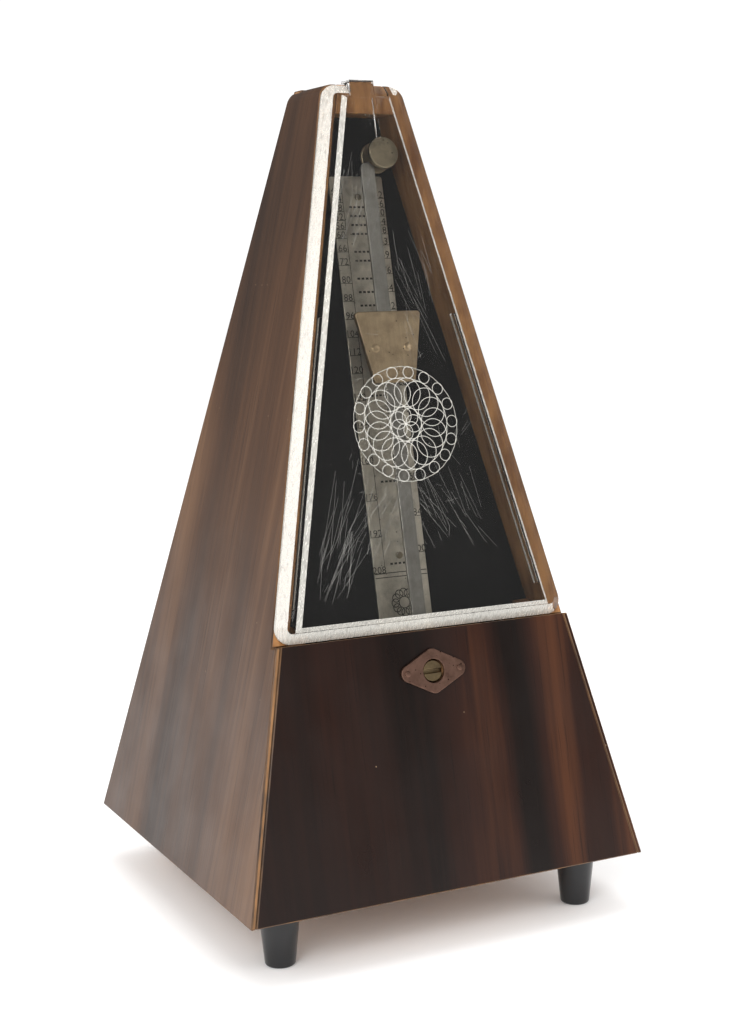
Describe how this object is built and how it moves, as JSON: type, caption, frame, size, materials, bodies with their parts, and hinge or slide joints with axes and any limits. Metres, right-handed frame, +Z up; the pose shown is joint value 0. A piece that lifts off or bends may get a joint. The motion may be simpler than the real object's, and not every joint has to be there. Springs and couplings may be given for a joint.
{
  "type": "mechanical metronome",
  "caption": "Mechanical metronome in a leaning wooden case with a clear front door, swinging pendulum with sliding weight, tempo scale and wind-up movement.",
  "frame": {"origin": "on the table under the middle of the case", "axes": "+Z up, the case's height; the front faces -Y; +X is to the right as seen from the front"},
  "size_m": [0.1169, 0.115, 0.223],
  "materials": {
    "walnut": "satin varnish",
    "light_wood": "bare",
    "black_gloss": "glossy",
    "black_board": "matt black paint",
    "clear_plastic": "clear, lightly scratched",
    "silver_scale": "satin",
    "dull_nickel": "dull",
    "copper_brown": "aged",
    "brass": "aged",
    "steel": "brushed"
  },
  "bodies": {
    "case": {"left_side_panel": "walnut", "right_side_panel": "walnut", "front_lower_panel": "walnut", "back_panel": "walnut", "top_block": "walnut", "front_left_block": "light_wood", "front_right_block": "light_wood", "rear_left_block": "light_wood", "rear_right_block": "light_wood", "base_screws": "steel", "base_board": "light_wood", "front_left_foot": "black_gloss", "front_right_foot": "black_gloss", "rear_foot": "black_gloss", "foot_screws": "steel", "dial_board": "black_board", "left_board_batten": "light_wood", "right_board_batten": "light_wood", "scale_plate": "silver_scale", "scale_nails": "brass", "rest_pin": "dull_nickel", "escutcheon_plate": "copper_brown", "escutcheon_pins": "copper_brown", "key_plate": "copper_brown", "movement_left_plate": "brass", "movement_right_plate": "brass", "plate_pillars": "brass", "pillar_screws": "steel", "movement_screws": "steel", "front_bridge": "brass", "rear_cock": "brass", "escape_cock": "brass", "click_screw": "steel", "click_spring": "steel"},
    "door": {"clear_door": "clear_plastic"},
    "pendulum": {"pendulum_rod": "steel", "pendulum_screw": "steel", "pendulum_arbor": "steel", "pendulum_bob": "brass", "front_pallet": "steel", "rear_pallet": "steel"},
    "tempo_weight": {"weight_plate": "brass", "weight_clip": "steel", "weight_rivets": "brass"},
    "barrel": {"barrel": "brass", "barrel_cover": "brass", "mainspring": "steel"},
    "second": {"second_arbor": "steel", "second_pinion": "steel", "second_wheel": "brass"},
    "escape": {"escape_arbor": "steel", "escape_pinion": "steel", "escape_wheel": "brass"},
    "winding": {"barrel_arbor": "steel", "ratchet_wheel": "steel", "winding_key": "brass"},
    "click": {"click": "steel"}
  },
  "joints": [
    {"name": "door_lift", "type": "slide", "parent": "case", "child": "door", "axis": [0, -0.976, 0.2179], "range_m": [0, 0.04]},
    {"name": "pendulum_swing", "type": "hinge", "parent": "case", "child": "pendulum", "pos_m": [0, -0.01593, 0.06401], "axis": [0, 0.976, -0.2179], "range_deg": [-1.1, 1.1]},
    {"name": "weight_slide", "type": "slide", "parent": "pendulum", "child": "tempo_weight", "axis": [0, 0.2179, 0.976], "range_m": [-0.068, 0.0335]},
    {"name": "winding_turn", "type": "hinge", "parent": "case", "child": "winding", "pos_m": [0.03, 0.0205, 0.05], "axis": [1, 0, 0], "continuous": true},
    {"name": "barrel_turn", "type": "hinge", "parent": "case", "child": "barrel", "pos_m": [0.02, 0.0205, 0.05], "axis": [1, 0, 0], "continuous": true},
    {"name": "second_turn", "type": "hinge", "parent": "case", "child": "second", "pos_m": [0.01, -0.00432, 0.04565], "axis": [1, 0, 0], "continuous": true},
    {"name": "escape_turn", "type": "hinge", "parent": "case", "child": "escape", "pos_m": [0.01, -0.01008, 0.0627], "axis": [1, 0, 0], "continuous": true},
    {"name": "click_lift", "type": "hinge", "parent": "case", "child": "click", "pos_m": [0.026, 0.0113, 0.0596], "axis": [1, 0, 0], "range_deg": [0, 10], "stiffness_Nm_per_rad": 0.002, "springref_deg": -5.73}
  ],
  "couplings": [
    {"joint": "second_turn", "follows": "escape_turn", "ratio": -0.2},
    {"joint": "barrel_turn", "follows": "escape_turn", "ratio": 0.033333}
  ]
}
